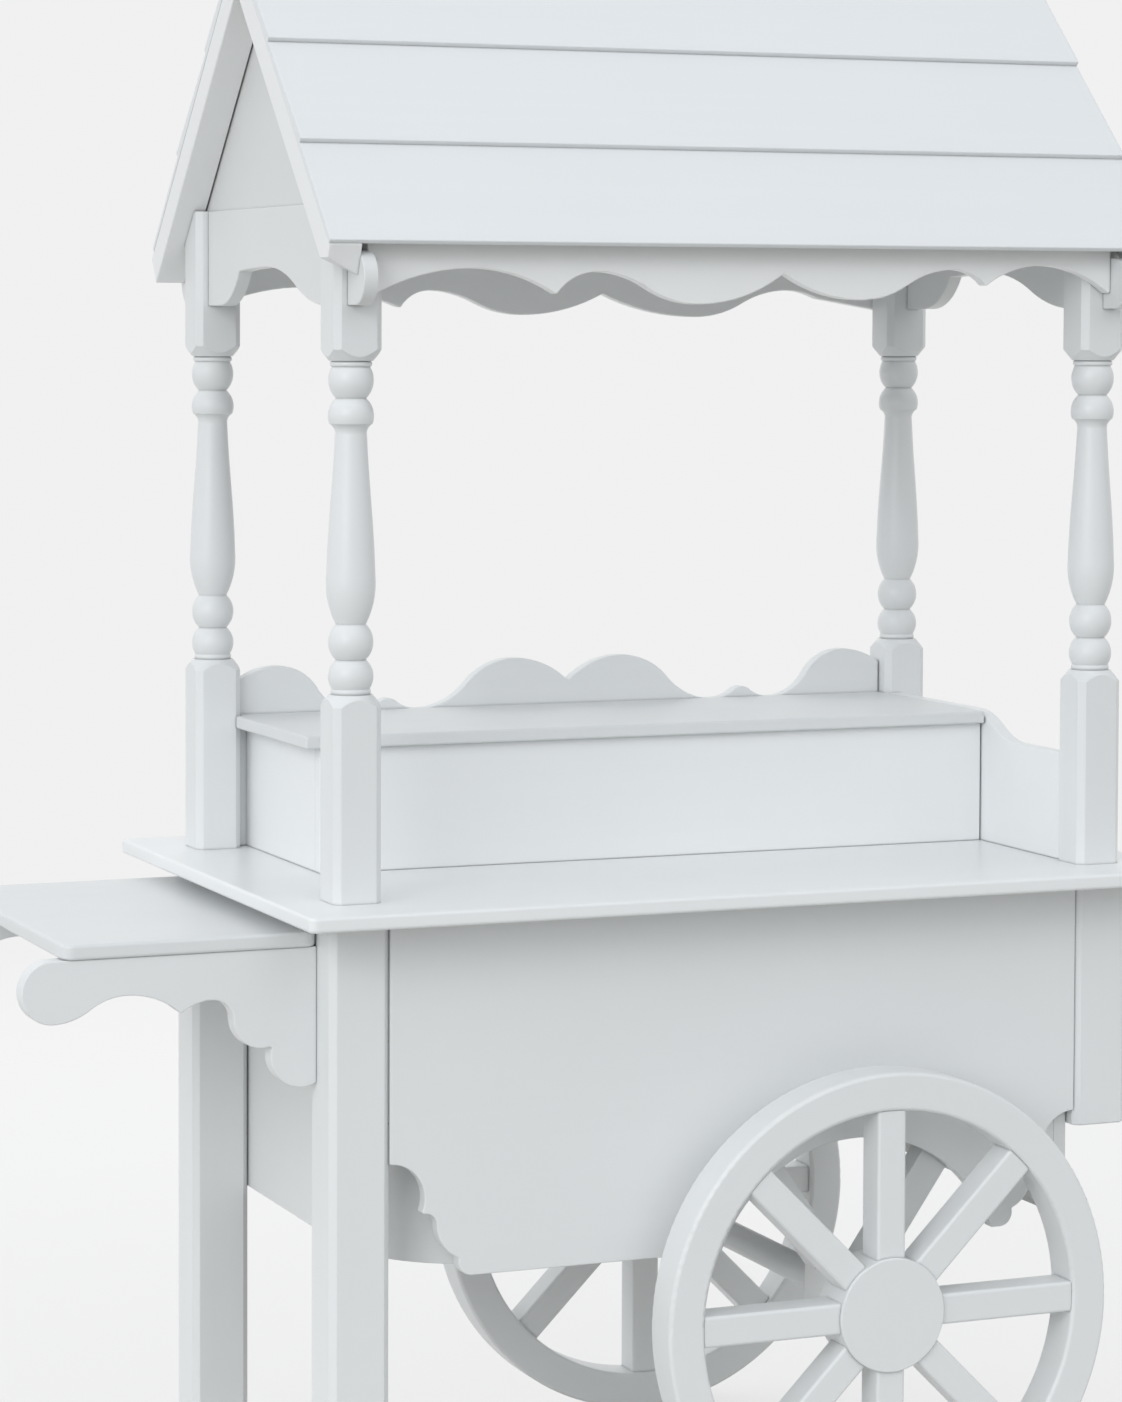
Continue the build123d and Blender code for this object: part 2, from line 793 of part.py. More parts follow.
# An apron on the front; each wave is half of its lower edge, from the centre of the pattern out to an end
# of the board: across, down and whether the edge is level there
def make_apron(middle, left_wave, right_wave):
    face = y_post + post_half
    left = [(across, post_top - down, level) for across, down, level in left_wave]
    right = [(across, post_top - down, level) for across, down, level in right_wave]
    rim = [
        (apron_start, left[-1][1]), (apron_start, post_top), (apron_end, post_top), (apron_end, right[-1][1]),
    ]
    edges = two_scrolls(middle, left, right) + straight(rim)
    return scrolled_board_xz(edges, -face - board_thick, -face) - roof_space()


def make_front_apron():
    middle = x_mid + apron_offset
    left, right = middle - apron_start, apron_end - middle
    left_wave = [
        (0, 80, False), (114, 118, True), (246, 80, True), (298, 107, False), (left - 134, 77, True),
        (left, 113, False),
    ]
    right_wave = [
        (0, 80, False), (105, 112, True), (232, 74, True), (276, 94, False), (right - 98, 68, True),
        (right, 104, False),
    ]
    return make_apron(middle, left_wave, right_wave)


def make_back_apron():
    middle = x_mid + back_apron_offset
    left, right = middle - apron_start, apron_end - middle
    left_wave = [
        (0, 102, False), (117, 131, True), (250, 99, True), (291, 122, False), (left - 134, 96, True),
        (left, 127, False),
    ]
    right_wave = [(0, 102, False), (138, 133, True), (276, 96, True), (323, 107, False), (right, 125, False)]
    return to_back(make_apron(middle, left_wave, right_wave))


def make_ridge_beam():
    half = ridge_width / 2
    beam = block(
        x_left + valance_in, x_right - valance_in, -half, half, ridge_z - ridge_depth, ridge_z,
    )
    return beam - roof_space()


# Collects the pieces

nodes = {}


def add_pair(front_name, back_name, shape):
    nodes[front_name] = shape
    nodes[back_name] = to_back(shape)


nodes["worktop"] = make_worktop()
for side, x, bottom in (("left", x_left, 0), ("right", x_right, scallop_top - right_leg_stop)):
    add_pair(f"leg_front_{side}", f"leg_back_{side}", make_leg(x, -y_post, bottom))
add_pair("body_front_panel", "body_back_panel", make_body_panel())
nodes["body_left_panel"] = make_left_end_panel()
nodes["body_right_panel"] = make_right_end_panel()
nodes["corner_cleats"] = make_corner_cleats()
add_pair("top_rail_front", "top_rail_back", make_top_rail())

nodes["axle"] = make_axle()
nodes["axle_washers"] = make_washers()
nodes["axle_nuts"] = make_nuts()
axle_block = make_axle_block()
add_pair("axle_block_front", "axle_block_back", axle_block)
nodes["axle_struts_front"] = make_struts(axle_block)
nodes["axle_struts_back"] = [to_back(strut) for strut in nodes["axle_struts_front"]]
add_pair("front_wheel_rim", "back_wheel_rim", make_rim())
nodes["front_wheel_spokes"] = make_spokes()
nodes["back_wheel_spokes"] = [to_back(spoke) for spoke in nodes["front_wheel_spokes"]]
add_pair("front_wheel_hub", "back_wheel_hub", make_hub())
add_pair("front_wheel_bush", "back_wheel_bush", make_bush())
add_pair("front_wheel_cap", "back_wheel_cap", make_hub_cap())

nodes["handle_arm_front"] = make_handle_arm(arm_root_depth, arm_root_lean)
nodes["handle_arm_back"] = to_back(make_handle_arm(back_arm_root_depth, back_arm_root_lean))
nodes["tray"] = make_tray()
nodes["tray_batten"] = make_tray_batten()

rafter = make_rafter(rafter_tail)
nodes["rafters_left"] = [rafter - tail_snip(), to_back(make_rafter(back_rafter_tail))]
nodes["rafters_right"] = [to_right(piece) for piece in nodes["rafters_left"]]
left_post = Pos(x_left, -y_post, 0) * make_post() - valance_slot() - rafter
add_pair("post_front_left", "post_back_left", left_post)
add_pair("post_front_right", "post_back_right", to_right(left_post))
for x in (x_left, x_right):
    for y in (-y_post, y_post):
        nodes["worktop"] -= tenon_hole(x, y)
        leg_name = f"leg_{'front' if y < 0 else 'back'}_{'left' if x < x_mid else 'right'}"
        nodes[leg_name] -= tenon_hole(x, y)

nodes["riser_top"] = make_riser_top()
nodes["riser_front"] = make_riser_front()
nodes["riser_left_end"] = make_riser_left_end()
nodes["riser_cleat"] = make_riser_cleat()
nodes["back_gallery"] = make_back_gallery()
nodes["side_gallery"] = make_side_gallery()

nodes["end_valance_left"] = make_valance()
nodes["end_valance_right"] = to_right(nodes["end_valance_left"])
nodes["gable_left"] = make_gable()
nodes["gable_right"] = to_right(nodes["gable_left"])
nodes["apron_front"] = make_front_apron()
nodes["apron_back"] = make_back_apron()
nodes["ridge_beam"] = make_ridge_beam()
for number in range(course_count):
    add_pair(f"roof_front_board_{number + 1}", f"roof_back_board_{number + 1}", make_roof_board(number))


# Dowels and screws, each in a hole through the two pieces it joins

dowels = []
screws = []


def drill(names, hole):
    for name in names:
        if isinstance(nodes[name], list):
            nodes[name] = [piece - hole for piece in nodes[name]]
        else:
            nodes[name] -= hole


# Starts inside the first piece and ends inside the second
def dowel(first, second, start, direction):
    start, direction = Vector(*start), Vector(*direction)
    dowels.append(rod(start, direction, dowel_length, dowel_radius))
    hole = rod(start - direction * glue_gap, direction, dowel_length + 2 * glue_gap, dowel_radius + glue_gap)
    drill((first, second), hole)


# Stands in the worktop and reaches up into a board
def worktop_dowel(board, x, y):
    dowel("worktop", board, (x, y, worktop_height - dowel_in_board), (0, 0, 1))


# A countersunk screw whose head lies flush with the first piece
def screw_body(start, direction, gap):
    shank = rod(start, direction, screw_length + gap, screw_radius + gap)
    upright = (Align.CENTER, Align.CENTER, Align.MIN)
    head = Cone(screw_head_radius + gap, screw_radius + gap, screw_head_height, align=upright)
    return shank + Plane(origin=start, z_dir=direction) * head


def screw(first, second, start, direction):
    screws.append(screw_body(start, direction, 0))
    drill((first, second), screw_body(start, direction, glue_gap))


# Middles of equal shares of a length
def spread(start, end, count):
    step = (end - start) / count
    return [start + step * (turn + 0.5) for turn in range(count)]


for row, sign in (("front", -1), ("back", 1)):
    panel_y = sign * (panel_face + panel_back) / 2
    for end, x, heading in (("left", x_left, 1), ("right", x_right, -1)):
        for z in spread(scallop_top, worktop_under, 3):
            start = (x + heading * (leg_half - dowel_length / 2), panel_y, z)
            dowel(f"leg_{row}_{end}", f"body_{row}_panel", start, (heading, 0, 0))
        post_x = x + heading * (post_half + valance_in) / 2
        start = (post_x, sign * (y_post + post_half + dowel_in_board), (valance_bottom + post_top) / 2)
        dowel(f"apron_{row}", f"post_{row}_{end}", start, (0, -sign, 0))
    arm_y = sign * (y_post - arm_from_post_axis - arm_thick / 2)
    for z in spread(arm_top - min(arm_root_depth, back_arm_root_depth), arm_top, 3):
        start = (x_left - leg_half - dowel_length / 2, arm_y, z)
        dowel(f"handle_arm_{row}", f"leg_{row}_left", start, (1, 0, 0))
    for x in spread(x_left - tray_reach, x_left - leg_half, 2):
        dowel("tray", f"handle_arm_{row}", (x, arm_y, arm_top + dowel_in_board), (0, 0, -1))
    for x in spread(x_left + end_bend_reach, x_right - cleat_inset, 3):
        start = Vector(x, sign * (panel_back - rail_size / 2), worktop_under - rail_size)
        screw(f"top_rail_{row}", "worktop", start, Vector(0, 0, 1))
    for side in (-1, 1):
        for reach in spread(wheel_arch_radius, strut_reach, 2):
            start = Vector(wheel_x, sign * strut_inner, wheel_radius) + strut_direction(side) * reach
            screw(f"axle_struts_{row}", f"body_{row}_panel", start, Vector(0, sign, 0))

for x in spread(x_left + post_half, x_right - post_half, 5):
    worktop_dowel("back_gallery", x, gallery_face + board_thick / 2)
for x in spread(x_left + riser_left, side_gallery_face, 4):
    worktop_dowel("riser_front", x, riser_face + board_thick / 2)
for y in spread(-y_post + post_half, y_post - post_half, 3):
    worktop_dowel("side_gallery", side_gallery_face + board_thick / 2, y)
for y in spread(riser_face + board_thick, gallery_face, 3):
    worktop_dowel("riser_left_end", x_left + riser_left + board_thick / 2, y)
for y in spread(-roof_half, roof_half, 3):
    for end, x, heading in (("left", x_left, -1), ("right", x_right, 1)):
        inward = (valance_out - gable_setback - valance_in) / 2
        start = (x + heading * inward, y, post_top - dowel_length / 2)
        dowel(f"end_valance_{end}", f"gable_{end}", start, (0, 0, 1))

nodes["dowels"] = dowels
nodes["screws"] = screws

os.makedirs("parts", exist_ok=True)
for name, shape in nodes.items():
    if isinstance(shape, list):
        shape = Compound([solid for piece in shape for solid in piece.solids()])
    export_step(shape, f"parts/{name}.step")
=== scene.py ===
import math

import bpy
from mathutils import Euler, Matrix, Vector

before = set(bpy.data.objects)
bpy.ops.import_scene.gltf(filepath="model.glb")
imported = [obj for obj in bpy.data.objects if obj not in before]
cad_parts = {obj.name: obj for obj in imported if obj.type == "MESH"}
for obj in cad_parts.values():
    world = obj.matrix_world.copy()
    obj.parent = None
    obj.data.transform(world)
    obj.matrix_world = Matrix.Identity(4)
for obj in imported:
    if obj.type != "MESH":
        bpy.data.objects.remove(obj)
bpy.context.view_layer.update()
scene = bpy.context.scene
print("cart loaded,", len(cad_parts), "pieces")


# Small helpers for building node trees

def addNode(tree, kind, inputs=None, **settings):
    node = tree.nodes.new(kind)
    for name, value in settings.items():
        setattr(node, name, value)
    for name, value in (inputs or {}).items():
        node.inputs[name].default_value = value
    return node


def feed(tree, value, socket):  # links a node's output, or sets a plain value
    if isinstance(value, bpy.types.NodeSocket):
        tree.links.new(value, socket)
    else:
        socket.default_value = value


def opaque(colour):
    return (*colour, 1.0)


def mathNode(tree, operation, first, second):
    node = addNode(tree, "ShaderNodeMath", operation=operation)
    feed(tree, first, node.inputs[0])
    feed(tree, second, node.inputs[1])
    return node.outputs[0]


def mixColour(tree, factor, first, second):
    node = addNode(tree, "ShaderNodeMix", data_type="RGBA")
    for index, value in ((0, factor), (6, first), (7, second)):  # factor, A and B of a colour mix
        feed(tree, value, node.inputs[index])
    return node.outputs[2]


def scaleColour(tree, colour, factor):
    node = addNode(tree, "ShaderNodeVectorMath", operation="SCALE")
    tree.links.new(colour, node.inputs[0])
    tree.links.new(factor, node.inputs["Scale"])
    return node.outputs[0]


def rescale(tree, value, fromRange, toRange=(0.0, 1.0)):
    ends = zip(("From Min", "From Max", "To Min", "To Max"), (*fromRange, *toRange))
    node = addNode(tree, "ShaderNodeMapRange", dict(ends), clamp=True)
    tree.links.new(value, node.inputs["Value"])
    return node.outputs["Result"]


def objectPlace(tree):  # metres in the cart's own frame
    return addNode(tree, "ShaderNodeTexCoord").outputs["Object"]


def noiseNode(tree, place, scale, shape):
    node = addNode(tree, "ShaderNodeTexNoise", shape)
    tree.links.new(place, node.inputs["Vector"])
    feed(tree, scale, node.inputs["Scale"])
    return node.outputs[0]


def newGroup(name, inputs, outputs):
    tree = bpy.data.node_groups.new(name, "ShaderNodeTree")
    for label, kind, start in inputs:
        socket = tree.interface.new_socket(label, in_out="INPUT", socket_type=kind)
        socket.default_value = start
    for label, kind in outputs:
        tree.interface.new_socket(label, in_out="OUTPUT", socket_type=kind)
    return tree, tree.nodes.new("NodeGroupInput"), tree.nodes.new("NodeGroupOutput")


def placeGroup(tree, group, values):
    return addNode(tree, "ShaderNodeGroup", values, node_tree=group)


# Shared effects, each built once

# A sprayed and rolled coat of paint: cloudy tone, uneven sheen and a fine peel
sheenLook = {"patches": 11.0, "noise": (0.3, 0.7), "swing": 0.035}  # patches in a metre, swing in roughness
noiseMiddle = 0.5


def buildPaintSkin():
    tree, given, result = newGroup(
        "paint skin",
        [
            ("Colour", "NodeSocketColor", (0.8, 0.8, 0.8, 1.0)),
            ("Cloud Size", "NodeSocketFloat", 3.0),  # clouds in a metre
            ("Cloud Depth", "NodeSocketFloat", 0.02),
            ("Roughness", "NodeSocketFloat", 0.4),
            ("Peel Size", "NodeSocketFloat", 420.0),  # bumps in a metre
        ],
        [("Colour", "NodeSocketColor"), ("Roughness", "NodeSocketFloat"), ("Height", "NodeSocketFloat")],
    )
    place = objectPlace(tree)
    cloud = noiseNode(tree, place, given.outputs["Cloud Size"], {"Detail": 3.0, "Roughness": 0.55})
    lift = mathNode(tree, "SUBTRACT", cloud, noiseMiddle)
    lift = mathNode(tree, "MULTIPLY", lift, given.outputs["Cloud Depth"])
    lift = mathNode(tree, "ADD", lift, 1.0)
    tree.links.new(scaleColour(tree, given.outputs["Colour"], lift), result.inputs["Colour"])
    sheen = noiseNode(tree, place, sheenLook["patches"], {"Detail": 4.0})
    swing = sheenLook["swing"]
    sheenStep = rescale(tree, sheen, sheenLook["noise"], (-swing, swing))
    rough = mathNode(tree, "ADD", given.outputs["Roughness"], sheenStep)
    tree.links.new(rough, result.inputs["Roughness"])
    peel = noiseNode(tree, place, given.outputs["Peel Size"], {"Detail": 2.0, "Roughness": 0.45})
    tree.links.new(peel, result.inputs["Height"])
    return tree


# Long fibres that still show faintly through the paint
grainLook = {
    "fibre": {"Detail": 5.0, "Roughness": 0.6, "Distortion": 0.3}, "fibreScale": 1.0,
    "bands": {"Detail": 1.0, "Distortion": 0.6}, "bandScale": 0.12,  # much coarser than the fibres
    "fold": 0.5,  # each ring goes from dark to light and back
}


def buildWoodGrain():
    tree, given, result = newGroup(
        "wood grain",
        [("Stretch", "NodeSocketVector", (6.0, 160.0, 160.0)), ("Rings", "NodeSocketFloat", 2.0)],
        [("Fibre", "NodeSocketFloat"), ("Bands", "NodeSocketFloat")],
    )
    drawn = addNode(tree, "ShaderNodeVectorMath", operation="MULTIPLY")
    tree.links.new(objectPlace(tree), drawn.inputs[0])
    tree.links.new(given.outputs["Stretch"], drawn.inputs[1])
    fibre = noiseNode(tree, drawn.outputs[0], grainLook["fibreScale"], grainLook["fibre"])
    tree.links.new(fibre, result.inputs["Fibre"])
    bands = noiseNode(tree, drawn.outputs[0], grainLook["bandScale"], grainLook["bands"])
    turns = mathNode(tree, "MULTIPLY", bands, given.outputs["Rings"])
    turns = mathNode(tree, "PINGPONG", turns, grainLook["fold"])
    tree.links.new(rescale(tree, turns, (0.0, grainLook["fold"])), result.inputs["Bands"])
    return tree


# Sanded arrises: a rounded normal, a mask that paints a highlight along the edges, and one that paints
# shade into creases and joints
edgeLook = {
    "bevelSamples": 6, "turned": (1.0, 0.9),  # cosine between the flat and the rounded normal
    "patches": (0.35, 0.6), "highlighted": (0.35, 1.0),  # the painted edge highlight comes and goes along an edge
    "paintedShadeSamples": 4, "closed": (0.95, 0.5),  # half closed in a square corner
}


def buildEasedEdge():
    tree, given, result = newGroup(
        "eased edge",
        [
            ("Radius", "NodeSocketFloat", 0.0012),
            ("Breakup", "NodeSocketFloat", 35.0),  # patches in a metre
            ("Painted Shade Width", "NodeSocketFloat", 0.0035),
        ],
        [("Normal", "NodeSocketVector"), ("Edge", "NodeSocketFloat"), ("Painted Shade", "NodeSocketFloat")],
    )
    bevel = addNode(tree, "ShaderNodeBevel", samples=edgeLook["bevelSamples"])
    tree.links.new(given.outputs["Radius"], bevel.inputs["Radius"])
    tree.links.new(bevel.outputs[0], result.inputs["Normal"])
    flat = addNode(tree, "ShaderNodeNewGeometry").outputs["True Normal"]
    facing = addNode(tree, "ShaderNodeVectorMath", operation="DOT_PRODUCT")
    tree.links.new(bevel.outputs[0], facing.inputs[0])
    tree.links.new(flat, facing.inputs[1])
    # painted highlight: a mask on the rounded edges, broken into patches
    rim = rescale(tree, facing.outputs["Value"], edgeLook["turned"])
    patchy = noiseNode(tree, objectPlace(tree), given.outputs["Breakup"], {"Detail": 3.0})
    patches = rescale(tree, patchy, edgeLook["patches"], edgeLook["highlighted"])
    tree.links.new(mathNode(tree, "MULTIPLY", rim, patches), result.inputs["Edge"])
    # painted shade: darkens where nearby surfaces close in, in creases and joints
    hollow = addNode(tree, "ShaderNodeAmbientOcclusion", samples=edgeLook["paintedShadeSamples"])
    tree.links.new(given.outputs["Painted Shade Width"], hollow.inputs["Distance"])
    tree.links.new(rescale(tree, hollow.outputs["AO"], edgeLook["closed"]), result.inputs["Painted Shade"])
    return tree


paintSkin = buildPaintSkin()
woodGrain = buildWoodGrain()
easedEdge = buildEasedEdge()
print("shared effects built")


# Materials

def newMaterial(name, shaderValues):
    material = bpy.data.materials.new(name)
    material.use_nodes = True
    tree = material.node_tree
    tree.nodes.clear()
    shader = addNode(tree, "ShaderNodeBsdfPrincipled", shaderValues)
    output = addNode(tree, "ShaderNodeOutputMaterial")
    tree.links.new(shader.outputs[0], output.inputs["Surface"])
    return material, tree, shader


def addSkin(tree, look):
    return placeGroup(tree, paintSkin, {
        "Colour": opaque(look["colour"]), "Cloud Depth": look["cloud"],
        "Roughness": look["roughness"], "Peel Size": look["peel"],
    })


def addBump(tree, shader, height, depth, under=None):
    bump = addNode(tree, "ShaderNodeBump", {"Strength": 1.0, "Distance": depth})
    tree.links.new(height, bump.inputs["Height"])
    if under is not None:
        tree.links.new(under, bump.inputs["Normal"])
    tree.links.new(bump.outputs[0], shader.inputs["Normal"])


# Satin white paint over board or timber
def paintedWood(name, look):
    coat = {"Coat Weight": look["coat"], "Coat Roughness": look["coatRoughness"]}
    material, tree, shader = newMaterial(name, coat)
    skin = addSkin(tree, look)
    grain = placeGroup(tree, woodGrain, {"Stretch": look["stretch"], "Rings": look["rings"]})
    edge = placeGroup(tree, easedEdge, {"Radius": look["edge"]})
    shade = rescale(tree, grain.outputs["Bands"], (0.0, 1.0), (1.0 - look["grainShade"], 1.0))
    coloured = scaleColour(tree, skin.outputs["Colour"], shade)
    # painted highlight: edges turn towards a paler colour in patches
    edgeHighlight = mathNode(tree, "MULTIPLY", edge.outputs["Edge"], look["edgeHighlight"])
    highlighted = mixColour(tree, edgeHighlight, coloured, opaque(look["edgeHighlightColour"]))
    # painted shade: creases and joints turn towards a dark grey
    paintedShade = mathNode(tree, "MULTIPLY", edge.outputs["Painted Shade"], look["paintedShade"])
    withPaintedShade = mixColour(tree, paintedShade, highlighted, opaque(look["paintedShadeColour"]))
    tree.links.new(withPaintedShade, shader.inputs["Base Color"])
    tree.links.new(skin.outputs["Roughness"], shader.inputs["Roughness"])
    fibreHeight = mathNode(tree, "MULTIPLY", grain.outputs["Fibre"], look["grainDepth"])
    height = mathNode(tree, "ADD", fibreHeight, skin.outputs["Height"])
    addBump(tree, shader, height, look["bump"], edge.outputs["Normal"])
    return material


cartPaint = {
    "colour": (0.80, 0.813, 0.817), "roughness": 0.42, "coat": 0.12, "coatRoughness": 0.28,
    "cloud": 0.03, "peel": 420.0, "bump": 0.00006,
    "stretch": (5.0, 150.0, 150.0), "rings": 3.0,  # fibres run along the cart
    "grainShade": 0.006, "grainDepth": 0.35,
    # the paler edge colour below is a painted highlight
    "edge": 0.0016, "edgeHighlight": 0.6, "edgeHighlightColour": (0.90, 0.91, 0.915),
    # the dark grey below is painted shade in creases and joints
    "paintedShade": 0.45, "paintedShadeColour": (0.34, 0.345, 0.345),
}
upright = (150.0, 150.0, 5.0)  # fibres run up a post or a leg
across = (150.0, 5.0, 150.0)  # fibres run front to back
anyWay = (60.0, 60.0, 60.0)  # a wheel's fibres follow no one direction
# Colours below stand in for light: the worktop, inner, apron and rafter colours are lighter as painted
# light, the tray, gable, shelf, turned and end colours are darker as painted shade, and the roof's bluer
# tone is painted cool light
finishes = {  # what each paint changes on the cart's own
    "board paint": {},
    "worktop paint with painted light": {"colour": (0.855, 0.869, 0.873), "roughness": 0.34, "coat": 0.3, "cloud": 0.02},
    "tray paint with painted shade": {"colour": (0.745, 0.758, 0.762), "roughness": 0.36, "coat": 0.2, "cloud": 0.02},
    "inner paint with painted light": {"colour": (0.85, 0.863, 0.867)},
    "apron paint with painted light": {"colour": (0.89, 0.894, 0.892)},
    "rafter paint with painted light": {"colour": (0.87, 0.874, 0.874), "stretch": across},
    "gable paint with painted shade": {"colour": (0.735, 0.742, 0.74), "stretch": across},
    "shelf paint with painted shade": {"colour": (0.73, 0.742, 0.746), "coat": 0.06},
    "panel paint": {"grainDepth": 0.1, "cloud": 0.035},
    "leg paint": {"stretch": upright, "grainDepth": 0.5},
    "turned paint with painted shade": {
        "colour": (0.782, 0.795, 0.799), "roughness": 0.38, "coat": 0.2,
        "stretch": upright, "grainDepth": 0.45,
    },
    "end paint with painted shade": {"colour": (0.765, 0.774, 0.775), "stretch": across},
    "roof paint with painted cool light": {"colour": (0.81, 0.828, 0.842), "roughness": 0.48, "coat": 0.06},
    "wheel paint": {"stretch": anyWay, "grainDepth": 0.15, "roughness": 0.4},
}
paints = {name: paintedWood(name, {**cartPaint, **change}) for name, change in finishes.items()}
print("paints mixed:", ", ".join(paints))


# Smooth pieces with no grain: the painted steel axle and the moulded bushes
axleLook = {
    "colour": (0.74, 0.76, 0.77), "roughness": 0.36, "cloud": 0.05, "peel": 900.0, "bump": 0.00004,
    "shader": {"Coat Weight": 0.2, "Coat Roughness": 0.2},
}
nylonLook = {
    "colour": (0.78, 0.77, 0.72), "roughness": 0.5, "cloud": 0.06, "peel": 1200.0, "bump": 0.00002,
    "shader": {"Subsurface Weight": 0.15, "Subsurface Scale": 0.002},
}


def smoothSkin(name, look):
    material, tree, shader = newMaterial(name, look["shader"])
    skin = addSkin(tree, look)
    tree.links.new(skin.outputs["Colour"], shader.inputs["Base Color"])
    tree.links.new(skin.outputs["Roughness"], shader.inputs["Roughness"])
    addBump(tree, shader, skin.outputs["Height"], look["bump"])
    return material


# Zinc plate on washers, nuts and screws, with the small flakes it grows
zincLook = {
    "colour": (0.62, 0.63, 0.64), "dull": (0.42, 0.43, 0.45), "roughness": (0.28, 0.45),
    "flakes": 260.0, "flakeRim": 0.7,  # flakes in a metre, and where one turns dull
}


def zincPlate():
    material, tree, shader = newMaterial("zinc plate", {"Metallic": 1.0})
    flakes = addNode(tree, "ShaderNodeTexVoronoi", {"Scale": zincLook["flakes"]})
    tree.links.new(objectPlace(tree), flakes.inputs["Vector"])
    dulled = rescale(tree, flakes.outputs["Distance"], (0.0, zincLook["flakeRim"]))
    tone = mixColour(tree, dulled, opaque(zincLook["colour"]), opaque(zincLook["dull"]))
    tree.links.new(tone, shader.inputs["Base Color"])
    tree.links.new(rescale(tree, dulled, (0.0, 1.0), zincLook["roughness"]), shader.inputs["Roughness"])
    return material


# Unpainted dowels
beechLook = {
    "light": (0.62, 0.42, 0.25), "dark": (0.42, 0.26, 0.14), "roughness": (0.55, 0.7),
    "stretch": (60.0, 400.0, 400.0), "rings": 4.0, "bump": 0.0001,
}


def bareBeech():
    material, tree, shader = newMaterial("bare beech", {})
    grain = placeGroup(tree, woodGrain, {"Stretch": beechLook["stretch"], "Rings": beechLook["rings"]})
    fibre = grain.outputs["Fibre"]
    tone = mixColour(tree, fibre, opaque(beechLook["light"]), opaque(beechLook["dark"]))
    tree.links.new(tone, shader.inputs["Base Color"])
    rough = rescale(tree, grain.outputs["Bands"], (0.0, 1.0), beechLook["roughness"])
    tree.links.new(rough, shader.inputs["Roughness"])
    addBump(tree, shader, fibre, beechLook["bump"])
    return material


axlePaint = smoothSkin("axle paint", axleLook)
nylon = smoothSkin("nylon", nylonLook)
zinc = zincPlate()
beech = bareBeech()

# Which finish each piece takes, by the start of its name; the longest start that fits counts
pieceFinish = {
    "worktop": paints["worktop paint with painted light"],
    "tray": paints["tray paint with painted shade"],
    "tray_batten": paints["board paint"],
    "leg_": paints["leg paint"],
    "post_": paints["turned paint with painted shade"],
    "body_": paints["panel paint"],
    "body_left": paints["end paint with painted shade"],
    "body_right": paints["end paint with painted shade"],
    "corner_cleats": paints["leg paint"],
    "top_rail": paints["board paint"],
    "axle": axlePaint,
    "axle_block": paints["end paint with painted shade"],
    "axle_struts": paints["leg paint"],
    "axle_washers": zinc,
    "axle_nuts": zinc,
    "front_wheel": paints["wheel paint"],
    "back_wheel": paints["wheel paint"],
    "front_wheel_bush": nylon,
    "back_wheel_bush": nylon,
    "handle_arm": paints["board paint"],
    "riser": paints["inner paint with painted light"],
    "riser_top": paints["shelf paint with painted shade"],
    "back_gallery": paints["board paint"],
    "side_gallery": paints["inner paint with painted light"],
    "end_valance": paints["end paint with painted shade"],
    "apron": paints["apron paint with painted light"],
    "gable": paints["gable paint with painted shade"],
    "rafters": paints["rafter paint with painted light"],
    "ridge_beam": paints["board paint"],
    "roof_": paints["roof paint with painted cool light"],
    "dowels": beech,
    "screws": zinc,
}


def finishFor(name):
    fitting = [start for start in pieceFinish if name.startswith(start)]
    return pieceFinish[max(fitting, key=len)]


for name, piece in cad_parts.items():
    piece.data.materials.clear()
    piece.data.materials.append(finishFor(name))
print("finishes given to", len(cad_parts), "pieces")


# Floor that fades into the backdrop; it looks pale to the camera and throws back less light than it shows

backdrop = {"colour": (0.877, 0.877, 0.877)}
floorLook = {
    "shown": (0.22, 0.22, 0.22),  # carries the shadow
    "glow": (0.657, 0.655, 0.653),  # lifts it to the backdrop's colour where no shadow falls
    "bounce": (0.58, 0.57, 0.545), "roughness": 0.9, "specular": 0.1,
    "reach": 6.0, "corners": 96, "fade": (2.2, 4.6),
}
black = (0.0, 0.0, 0.0, 1.0)


def seenRays(tree):
    path = addNode(tree, "ShaderNodeLightPath")
    seen = mathNode(tree, "MAXIMUM", path.outputs["Is Camera Ray"], path.outputs["Is Glossy Ray"])
    return mathNode(tree, "MAXIMUM", seen, path.outputs["Is Transmission Ray"])


def addFloor():
    bpy.ops.mesh.primitive_circle_add(
        vertices=floorLook["corners"], radius=floorLook["reach"], fill_type="NGON"
    )
    floor = bpy.context.object
    floor.name = "floor"
    material, tree, shader = newMaterial("pale floor", {
        "Roughness": floorLook["roughness"], "Specular IOR Level": floorLook["specular"],
        "Emission Strength": 1.0,
    })
    seen = seenRays(tree)
    shown = mixColour(tree, seen, opaque(floorLook["bounce"]), opaque(floorLook["shown"]))
    glow = mixColour(tree, seen, black, opaque(floorLook["glow"]))
    tree.links.new(shown, shader.inputs["Base Color"])
    tree.links.new(glow, shader.inputs["Emission Color"])
    distance = addNode(tree, "ShaderNodeVectorMath", operation="LENGTH")
    tree.links.new(objectPlace(tree), distance.inputs[0])
    fade = rescale(tree, distance.outputs["Value"], floorLook["fade"], (1.0, 0.0))
    tree.links.new(fade, shader.inputs["Alpha"])
    floor.data.materials.append(material)


addFloor()
print("floor laid")


# World: soft studio light, and a plain backdrop for the camera and for reflections

worldLight = {  # height on the sky, from -1 to 1, and the colour there
    "low": (-0.3, (0.22, 0.22, 0.212)),
    "level": (0.0, (0.19, 0.19, 0.188)),
    "mid": (0.45, (1.255, 1.3, 1.335)),
    "high": (0.9, (0.405, 0.42, 0.43)),
}
worldSides = (1.19, 0.8)  # left and right: the studio is brighter on the left
wholeSky = (-1.0, 1.0)  # from one side to the other, or bottom to top


